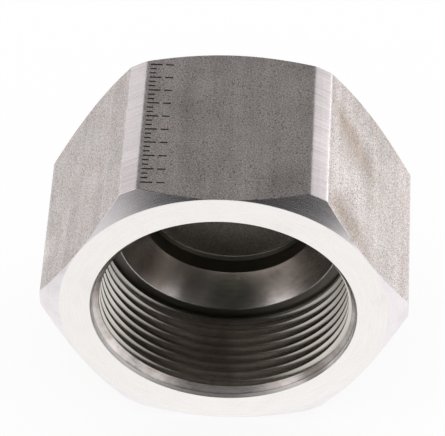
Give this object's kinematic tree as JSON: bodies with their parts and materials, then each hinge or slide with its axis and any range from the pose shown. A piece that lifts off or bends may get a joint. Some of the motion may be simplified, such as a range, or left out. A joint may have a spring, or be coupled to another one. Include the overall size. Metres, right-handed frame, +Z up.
{
  "type": "hydraulic end cap",
  "caption": "Hexagonal steel cap with a blind threaded bore and a cone seat, screwed over the end of a hydraulic tube fitting to close it.",
  "frame": {"origin": "middle of the flat that the cap lies on, half way along its length", "axes": "+Z up, away from the flat it lies on; the bore runs along Y and its mouth faces -Y; +X across the corners of the hexagon"},
  "size_m": [0.0674, 0.037, 0.06],
  "materials": {
    "turned_steel": "bare carbon steel: turned ends, corners and bore, drawn bar surface on the flats"
  },
  "bodies": {
    "root": {"end_cap": "turned_steel"}
  },
  "joints": []
}
